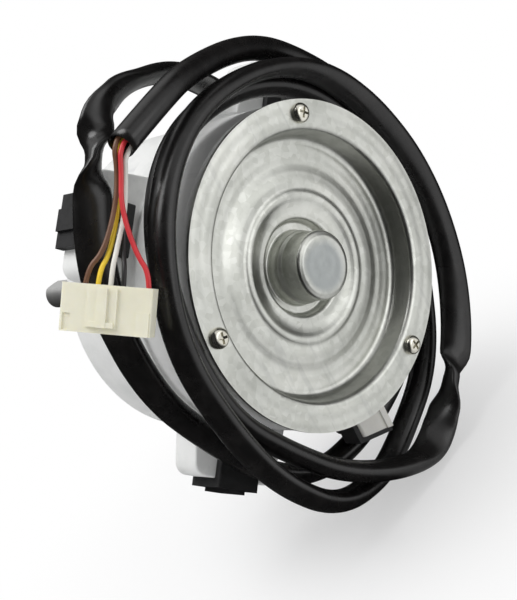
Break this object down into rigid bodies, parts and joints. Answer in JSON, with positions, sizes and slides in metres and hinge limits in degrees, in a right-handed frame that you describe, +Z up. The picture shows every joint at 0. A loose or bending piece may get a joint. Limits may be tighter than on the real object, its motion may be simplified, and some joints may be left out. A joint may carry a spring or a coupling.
{
  "type": "fan motor",
  "caption": "Resin-moulded fan motor with a pressed steel cover, rubber-cushioned fixing lugs, a long flatted shaft and a sleeved lead ending in a connector.",
  "frame": {"origin": "on the shaft's axis, in the plane of the rubber feet's seating faces", "axes": "+Y along the shaft from the cover to the driven end, +Z up, +X to the right seen from the cover"},
  "size_m": [0.1758, 0.1852, 0.1836],
  "materials": {
    "galvanised_steel": "satin, zinc coated",
    "screw_steel": "bright plated",
    "resin": "matte moulded",
    "rubber": "matte",
    "bush_plastic": "matte",
    "sleeve_vinyl": "glossy",
    "wire_brown": "satin",
    "wire_yellow": "satin",
    "wire_white": "satin",
    "wire_black": "satin",
    "wire_red": "satin",
    "ivory_plastic": "satin",
    "terminal_metal": "tinned",
    "shaft_steel": "ground",
    "bearing_steel": "polished",
    "core_steel": "laminated",
    "copper": "enamelled",
    "magnet": "matte",
    "board": "satin",
    "chip": "matte"
  },
  "bodies": {
    "stator": {"end_cover": "galvanised_steel", "cover_screws": "screw_steel", "motor_body": "resin", "rubber_foot_upper_right": "rubber", "rubber_foot_lower_right": "rubber", "rubber_foot_lower_left": "rubber", "rubber_foot_upper_left": "rubber", "cable_bush": "bush_plastic", "cable_seal": "rubber", "cable_grommet": "rubber", "stator_core": "core_steel", "stator_coils": "copper", "front_bearing_outer_ring": "bearing_steel", "front_bearing_balls": "bearing_steel", "rear_bearing_outer_ring": "bearing_steel", "rear_bearing_balls": "bearing_steel", "preload_washer": "bearing_steel", "circuit_board": "board", "driver_module": "chip", "hall_sensors": "chip", "cable_sleeve": "sleeve_vinyl", "wire_brown": "wire_brown", "wire_yellow": "wire_yellow", "wire_white": "wire_white", "wire_black": "wire_black", "wire_red": "wire_red", "connector_housing": "ivory_plastic", "connector_terminals": "terminal_metal"},
    "rotor": {"motor_shaft": "shaft_steel", "rotor_core": "core_steel", "rotor_magnet": "magnet", "retaining_clip_inner": "bearing_steel", "retaining_clip_outer": "bearing_steel", "shaft_slinger": "rubber", "front_bearing_inner_ring": "bearing_steel", "rear_bearing_inner_ring": "bearing_steel"}
  },
  "joints": [
    {"name": "rotor_spin", "type": "hinge", "parent": "stator", "child": "rotor", "pos_m": [0, 0, 0], "axis": [0, 1, 0], "continuous": true}
  ]
}
